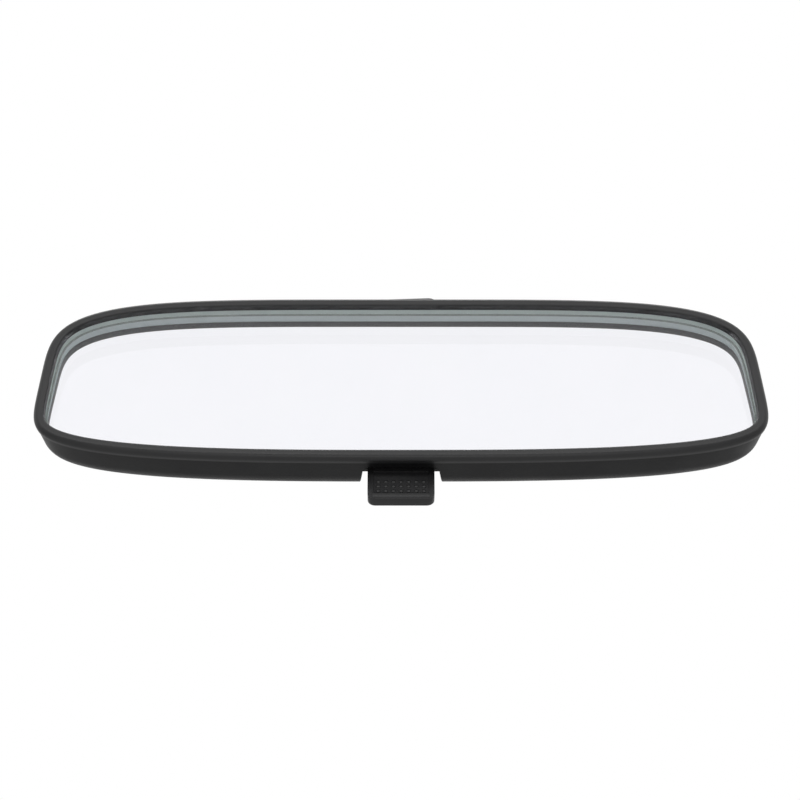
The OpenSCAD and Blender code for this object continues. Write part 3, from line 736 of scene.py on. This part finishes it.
def dotField(look, material):
    # rows and columns of low domes on the finger tray
    tree = bpy.data.node_groups.new("dotField", "GeometryNodeTree")
    given = treeInputs(tree, (
        ("Columns", "Int", look["columns"]), ("Rows", "Int", look["rows"]),
        ("Pitch", "Float", look["pitch"]), ("Row Pitch", "Float", look["rowPitch"]),
        ("Radius", "Float", look["dotRadius"]), ("Rise", "Float", look["dotRise"]),
        ("Material", "Material", material)))
    spans = []
    for count, pitch in (("Columns", "Pitch"), ("Rows", "Row Pitch")):
        gaps = addNode(tree, "ShaderNodeMath", {0: given[count], 1: 1.0}, operation="SUBTRACT")
        spans.append(addNode(tree, "ShaderNodeMath", {
            0: gaps.outputs[0], 1: given[pitch]}, operation="MULTIPLY").outputs[0])
    grid = addNode(tree, "GeometryNodeMeshGrid", {
        "Size X": spans[0], "Size Y": spans[1], "Vertices X": given["Columns"], "Vertices Y": given["Rows"]})
    dome = addNode(tree, "GeometryNodeMeshUVSphere", {"Segments": 24, "Rings": 14, "Radius": given["Radius"]})
    flat = addNode(tree, "ShaderNodeMath", {
        0: given["Rise"], 1: given["Radius"]}, operation="DIVIDE")
    size = addNode(tree, "ShaderNodeCombineXYZ", {"X": 1.0, "Y": 1.0, "Z": flat.outputs[0]})
    spread = addNode(tree, "GeometryNodeInstanceOnPoints", {
        "Points": grid.outputs["Mesh"], "Instance": dome.outputs["Mesh"], "Scale": size.outputs[0]})
    real = addNode(tree, "GeometryNodeRealizeInstances", {"Geometry": spread.outputs["Instances"]})
    dressed = addNode(tree, "GeometryNodeSetMaterial", {
        "Geometry": real.outputs["Geometry"], "Material": given["Material"]})
    addNode(tree, "NodeGroupOutput", {"Geometry": dressed.outputs["Geometry"]})
    return tree


def grown(name, tree, place):
    # the tree's result as a plain mesh, put in its place
    piece = newPiece(name, [], [], Matrix(), [])
    piece.modifiers.new("grow", "NODES").node_group = tree
    settle(piece)
    piece.data.transform(place)
    return piece


def makeLever():
    half, thick = lever["tabWidth"] / 2, lever["tabThick"] / 2
    low = -((leverPin.z + halfH) / math.cos(leverLean) + lever["tabLength"])
    corner = lever["corner"]
    lowHalf = half - lever["taper"]
    body = prism("toggleLever", [(-half, -lever["start"]), (-lowHalf, low, corner), (lowHalf, low, corner),
                                 (half, -lever["start"])], -thick, thick, leverFrame @ facingY, [leverAbs])
    lipHigh = low + 2 * lever["lipRadius"] + 0.2
    front = -thick - lever["lipRise"]
    lip = prism("lip", [(front, low + 0.2, 0.9), (0, low + 0.2), (0, lipHigh + 0.3),
                        (-thick, lipHigh + 0.1, 0.25), (front, lipHigh - 0.7, 0.6)],
                2 - half, half - 2, leverFrame @ facingX, [leverAbs])
    combine(body, lip, "UNION")
    trayLow, trayHigh = low + lever["trayLow"] + 0.25, low + lever["tabLength"] - lever["trayTop"]
    wide = lever["trayWidth"] / 2
    tray = prism("tray", [(-wide, trayLow, 0.5), (wide, trayLow, 0.5), (wide, trayHigh, 0.5),
                          (-wide, trayHigh, 0.5)],
                 thick - lever["trayDepth"], thick + 2, leverFrame @ facingY)
    combine(body, tray, "DIFFERENCE")
    crankRise = lever["crank"]
    hub, fork, out = lever["hubRadius"], lever["forkRadius"], lever["forkOut"]
    alongHub = leverFrame @ facingX
    extra = [turned("hub", [(0, -lever["hubHalf"]), (hub, -lever["hubHalf"]), (hub, lever["hubHalf"]),
                            (0, lever["hubHalf"])], alongHub, [leverAbs], 64)]
    for side in (-1, 1):
        outlineOfArm = [(-hub, 0), (hub, 0)] + [
            (fork * math.cos(math.radians(a)), crankRise + fork * math.sin(math.radians(a)))
            for a in range(0, 181, 15)]
        extra.append(prism("arm", outlineOfArm, side * lever["forkIn"], side * out, alongHub, [leverAbs]))
    thin, under = lever["blade"] / 2, -lever["start"] - 0.5
    extra.append(prism("blade", [(-thin, under), (thin, under), (thin, -0.5), (-thin, -0.5)],
                       -out, out, alongHub, [leverAbs]))
    for part in extra:
        combine(body, part, "UNION")
    for height in (0, crankRise):
        bore = turned("bore", [(0, -20), (case["pinRadius"], -20), (case["pinRadius"], 20), (0, 20)],
                      alongHub @ Matrix.Translation((0, height, 0)), [], 48)
        combine(body, bore, "DIFFERENCE")
    clear = turned("clear", [(0, -lever["forkIn"]), (hub + 1, -lever["forkIn"]), (hub + 1, lever["forkIn"]),
                             (0, lever["forkIn"])], alongHub @ Matrix.Translation((0, crankRise, 0)), [], 64)
    combine(body, clear, "DIFFERENCE")
    soften(body, lever["edge"], 3, 40)
    finishPiece(smooth(body, 30), "lever", ["toggle_lever"])
    dotPlace = (leverFrame @ Matrix.Translation((0, -thick + lever["trayDepth"], low + lever["middleRow"]))
                @ Matrix.Rotation(math.radians(90), 4, "X"))
    dots = grown("leverDots", dotField(lever, leverAbs), dotPlace)
    finishPiece(smooth(dots, 60), "lever", [])


crankLow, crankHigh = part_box("crank_pin")
lever["crank"] = ((crankLow + crankHigh) / 2 - leverPlace).yz.length / mm
makeLever()
print("lever made")


# The arm with its balls, liners, seats and spring.

ball = {
    "radius": 7, "neck": 3.2, "shank": 3, "collar": 5, "collarThick": 1.4,
    "slip": 0.1, "liner": 1.3, "tube": 1.5,    # mm: play, and the thickness of the cup and the tube
    "mouth": 5.45,                             # depth of each ball's centre inside the tube's end
}
linerRadius = ball["radius"] + ball["slip"] + ball["liner"]
socketRadius = linerRadius + ball["slip"]
tubeRadius = socketRadius + ball["tube"]


def arc(radius, start, end, steps, centre=0):
    # points of a circle about (0, centre), from one latitude to another in degrees
    angles = [math.radians(start + (end - start) * k / steps) for k in range(steps + 1)]
    return [(max(0, radius * math.cos(a)), centre + radius * math.sin(a)) for a in angles]


def makeStud(name, place, neck, shank, body, node):
    # a ground ball on a neck, a collar and a shank with a lead-in
    waist = math.degrees(math.acos(ball["neck"] / ball["radius"]))
    profile = arc(ball["radius"], 90, -waist, 40)
    profile[0] = (0, ball["radius"])
    collarTop, end = ball["collarThick"] - neck, -neck - shank
    profile += [(ball["neck"], collarTop, 0.4), (ball["collar"], collarTop, 0.3),
                (ball["collar"], -neck, 0.2), (ball["shank"], -neck), (ball["shank"], end, 0.5), (0, end)]
    piece = turned(name, profile, place, [groundSteel])
    return finishPiece(smooth(piece, 30), body, [node])


def makeLiner(name, place, body, node):
    # a cup of nylon around the ball, open for the spring seat and for the neck
    top = 10    # degrees of latitude
    inner = ball["radius"] + ball["slip"]
    innerTop = math.degrees(math.asin(linerRadius * math.sin(math.radians(top)) / inner))
    gap = ball["neck"] + 0.5
    outside = arc(linerRadius, top, -math.degrees(math.acos(gap / linerRadius)), 30)
    inside = arc(inner, -math.degrees(math.acos(gap / inner)), innerTop, 30)
    return finishPiece(smooth(turned(name, outside + inside, place, [nylon]), 30), body, [node])


def makeSeat(name, place, body, node):
    # a hollow seat between the ball and the spring, with a flange for the coil
    nose, start, flange = ball["radius"] - 2.2, 7.6, 1.6
    inner = ball["radius"] + ball["slip"]
    profile = [(1.5, start + 2 * flange, 0.15), (1.5, inner * math.cos(math.asin(1.5 / inner)))]
    profile += [(r, z) for r, z in arc(inner, math.degrees(math.acos(1.5 / inner)),
                                       math.degrees(math.acos(nose / inner)), 12)][1:]
    profile += [(nose, start), (linerRadius, start, 0.2), (linerRadius, start + flange, 0.2),
                (3.8, start + flange, 0.1), (3.8, start + 2 * flange, 0.3)]
    return finishPiece(smooth(turned(name, profile, place, [nylon]), 30), body, [node])


def makeTube():
    # a drawn steel tube whose ends are spun round the balls
    inside, outside = socketRadius, tubeRadius
    lowAngle = -math.degrees(math.asin(ball["mouth"] / outside))
    innerAngle = -math.degrees(math.asin(ball["mouth"] / inside))
    profile = arc(outside, lowAngle, 0, 24) + arc(outside, 0, -lowAngle, 24, armLen)
    profile += arc(inside, -innerAngle, 0, 24, armLen) + arc(inside, 0, innerAngle, 24)
    piece = turned("armTube", profile, armFrame, [armPaint], 128)
    soften(piece, 0.35, 3, 60)
    return finishPiece(smooth(piece, 30), "arm", ["arm_tube"])


spring = {"turns": 8, "radius": 5.2, "wire": 0.7, "ends": 10.0}  # ends: from each ball's centre


def springCoil(look, material):
    # one wire wound on a circle, from end to end
    tree = bpy.data.node_groups.new("springCoil", "GeometryNodeTree")
    given = treeInputs(tree, (
        ("Turns", "Float", look["turns"]), ("Radius", "Float", look["radius"]),
        ("Wire", "Float", look["wire"]), ("Length", "Float", look["length"]),
        ("Material", "Material", material)))
    path = addNode(tree, "GeometryNodeCurveSpiral", {
        "Resolution": 48, "Rotations": given["Turns"], "Start Radius": given["Radius"],
        "End Radius": given["Radius"], "Height": given["Length"]})
    wire = addNode(tree, "GeometryNodeCurvePrimitiveCircle", {"Resolution": 20, "Radius": given["Wire"]})
    body = addNode(tree, "GeometryNodeCurveToMesh", {
        "Curve": path.outputs["Curve"], "Profile Curve": wire.outputs["Curve"], "Fill Caps": True})
    real = addNode(tree, "GeometryNodeRealizeInstances", {"Geometry": body.outputs["Mesh"]})
    dressed = addNode(tree, "GeometryNodeSetMaterial", {
        "Geometry": real.outputs["Geometry"], "Material": given["Material"]})
    addNode(tree, "NodeGroupOutput", {"Geometry": dressed.outputs["Geometry"]})
    return tree


spring["length"] = armLen - 2 * spring["ends"]
makeStud("headBallStud", studFrame, 20, 14.4, "bracket", "head_ball_stud")
flip = Matrix.Rotation(math.pi, 4, "X")
footStud = footFrame @ Matrix.Translation((0, 0, -footDrop)) @ flip
makeStud("footBallStud", footStud, 10.5, 9.5, "mount", "foot_ball_stud")
makeLiner("lowerBallLiner", studFrame, "lower_liner", "lower_ball_liner")
makeLiner("upperBallLiner", footStud, "upper_liner", "upper_ball_liner")
makeSeat("lowerSpringSeat", armFrame, "lower_seat", "lower_spring_seat")
makeSeat("upperSpringSeat", armFrame @ Matrix.Translation((0, 0, armLen)) @ flip, "arm", "upper_spring_seat")
makeTube()
coilPlace = armFrame @ Matrix.Translation((0, 0, spring["ends"]))
coil = grown("armSpring", springCoil(spring, springSteel), coilPlace)
finishPiece(smooth(coil, 60), "arm", ["arm_spring"])
print("arm made")


foot = {
    "width": 36, "length": 40, "thick": 12, "skin": 0.4, "corner": 5, "edge": 2,
    "bossDrop": 17.5, "bossRadii": (7.5, 10),
    "channelWidth": 10.1, "channelDepth": 5.1, "channelSlope": 1.6,  # half of its width
    "channelEnd": 12.6, "studBore": 3.05,
    "screwPlace": 13.5, "screwRadius": 2.05,
}


def roundedPlate(name, width, length, low, high, corner, place, materials):
    outlineOfPlate = [(width / 2, length / 2, corner), (-width / 2, length / 2, corner),
                      (-width / 2, -length / 2, corner), (width / 2, -length / 2, corner)]
    return prism(name, outlineOfPlate, low, high, place, materials)


def makeFoot():
    # a plate with a stepped edge and a boss, with a channel, a screw hole and a bore
    width, length, edge = foot["width"], foot["length"], foot["edge"]
    low = -foot["thick"]
    body = roundedPlate("mountFoot", width, length, low + edge, -foot["skin"],
                        foot["corner"], footFrame, [footPaint])
    step = roundedPlate("step", width - 2 * edge, length - 2 * edge, low, low + edge + 0.5,
                        foot["corner"] - edge, footFrame, [footPaint])
    combine(body, step, "UNION")
    narrow, wide = foot["bossRadii"]
    drop = -foot["bossDrop"]
    boss = turned("boss", [(0, drop), (narrow, drop, 0.8), (wide, low + 0.5), (0, low + 0.5)],
                  footFrame, [footPaint])
    combine(body, boss, "UNION")
    half, deep, slope = foot["channelWidth"], foot["channelDepth"], foot["channelSlope"]
    channel = prism("channel", [(-half, -deep), (half, -deep), (half, -4), (half - slope, 0.1),
                                (slope - half, 0.1), (-half, -4)],
                    -foot["length"], foot["channelEnd"], footFrame @ facingY)
    combine(body, channel, "DIFFERENCE")
    for radius, y, start, end in ((foot["studBore"], 0, drop - 1, -8),
                                  (foot["screwRadius"], foot["screwPlace"], low - 1, -1)):
        bore = turned("bore", [(0, start), (radius, start), (radius, end), (0, end)],
                      footFrame @ Matrix.Translation((0, y, 0)), [], 64)
        combine(body, bore, "DIFFERENCE")
    soften(body, 0.7, 4, 35)
    return finishPiece(smooth(body, 30), "mount", ["mount_foot"])


makeFoot()
print("foot made")


# foam pads, glued to the glass's back
pad = {"width": 22, "height": 9, "thick": 1.8, "film": 0.25}    # film: paint between pad and glass


def makePads():
    behind = headFrame @ Matrix.Translation((0, glassMid, 0)) @ Matrix.Rotation(-wedge, 4, "X")
    pads = []
    for side in (-1, 1):
        for shareX, shareZ in case["posts"]:
            x, z = side * shareX * halfW, shareZ * halfH
            w, h = pad["width"] / 2, pad["height"] / 2
            flat = [(x - w, z - h, 0.8), (x + w, z - h, 0.8), (x + w, z + h, 0.8), (x - w, z + h, 0.8)]
            far, near = -pad["film"] - pad["thick"], -pad["film"]
            pads.append(prism("foamPads", flat, far, near, behind @ facingY, [foam]))
    piece = joinPieces(pads)
    soften(piece, 0.35, 4, 40)
    return finishPiece(smooth(piece, 40), "case", ["foam_pads"])


makePads()


# nodes that stay as they are, each in its own finish
finishes = {
    "mirror_backing": backPaint, "hinge_pin": drawnSteel, "lever_pin": drawnSteel, "crank_pin": drawnSteel,
    "detent_plate": springSteel, "detent_screw": zinc, "stop_bumpers": rubber, "pivot_bracket": zinc,
    "stud_washer": zinc, "stud_nut": zinc, "windscreen_button": sinteredSteel, "set_screw": blackOxide,
}
for nodeName, material in finishes.items():
    mesh = frame["nodes"][nodeName].data
    mesh.materials.clear()
    mesh.materials.append(material)
print("finishes given to", len(finishes), "nodes")


studio = {
    "floorDrop": 0.85, "floorSize": 6.0,
    "above": "#ffffff", "below": "#8c8c8c",
    "softBoxes": (                # name, degrees of elevation, then metres and watts
        ("lowBox", -35, 0.46, 0.36, 0.12, 0.3),
        ("frontBox", 15, 0.6, 0.9, 0.12, 1.3),
        ("topBox", 84, 0.6, 0.9, 0.12, 1.8)),
    "cameraAngle": 34.739, "cameraDistance": 0.39, "aimDrop": 0.011224,
    "lens": 50.766, "shift": -0.0013,
}


def makeFloor():
    size = studio["floorSize"] / 2
    floor = newPiece("floor", [(-size, -size, 0), (size, -size, 0), (size, size, 0), (-size, size, 0)],
                     [[0, 1, 2, 3]], Matrix.Translation((0, 0, cadBox[0].z - studio["floorDrop"])), [])
    material, tree, shader, place = newMaterial("paleFloor")
    setShader(tree, shader, {
        "Base Color": blend(tree, noiseAt(tree, place, 400, 3), "#cfcfcf", "#d4d4d4"), "Roughness": 0.8})
    floor.data.materials.append(material)


def makeWorld():
    world = bpy.data.worlds.new("softStudio")
    world.use_nodes = True
    tree = world.node_tree
    tree.nodes.clear()
    direction = addNode(tree, "ShaderNodeTexCoord").outputs["Generated"]
    height = addNode(tree, "ShaderNodeSeparateXYZ", {"Vector": direction}).outputs["Z"]
    sky = blend(tree, ramp(tree, height, -0.25, 0.1, 0, 1), studio["below"], studio["above"])
    light = addNode(tree, "ShaderNodeBackground", {"Color": sky, "Strength": 1.0})
    addNode(tree, "ShaderNodeOutputWorld", {"Surface": light.outputs["Background"]})
    scene.world = world


def makeCamera():
    angle = math.radians(studio["cameraAngle"])
    aim = faceCentre - Vector((0, 0, studio["aimDrop"]))
    data = bpy.data.cameras.new("camera")
    data.lens = studio["lens"]
    data.sensor_width = 36
    data.shift_x = studio["shift"]
    data.clip_start = 0.01
    camera = bpy.data.objects.new("camera", data)
    camera.location = aim - studio["cameraDistance"] * Vector((0, math.cos(angle), math.sin(angle)))
    camera.rotation_euler = (aim - camera.location).to_track_quat("-Z", "Y").to_euler()
    scene.collection.objects.link(camera)
    scene.camera = camera


def makeLights():
    # soft boxes in front of the head, above and below what the glass reflects
    for name, elevation, distance, width, height, power in studio["softBoxes"]:
        data = bpy.data.lights.new(name, "AREA")
        data.shape = "RECTANGLE"
        data.size, data.size_y, data.energy = width, height, power
        light = bpy.data.objects.new(name, data)
        rise = math.radians(elevation)
        light.location = faceCentre + distance * Vector((0, -math.cos(rise), math.sin(rise)))
        light.rotation_euler = (faceCentre - light.location).to_track_quat("-Z", "Y").to_euler()
        scene.collection.objects.link(light)


makeFloor()
makeWorld()
makeCamera()
makeLights()
scene.view_settings.view_transform = "Standard"
print("studio made")
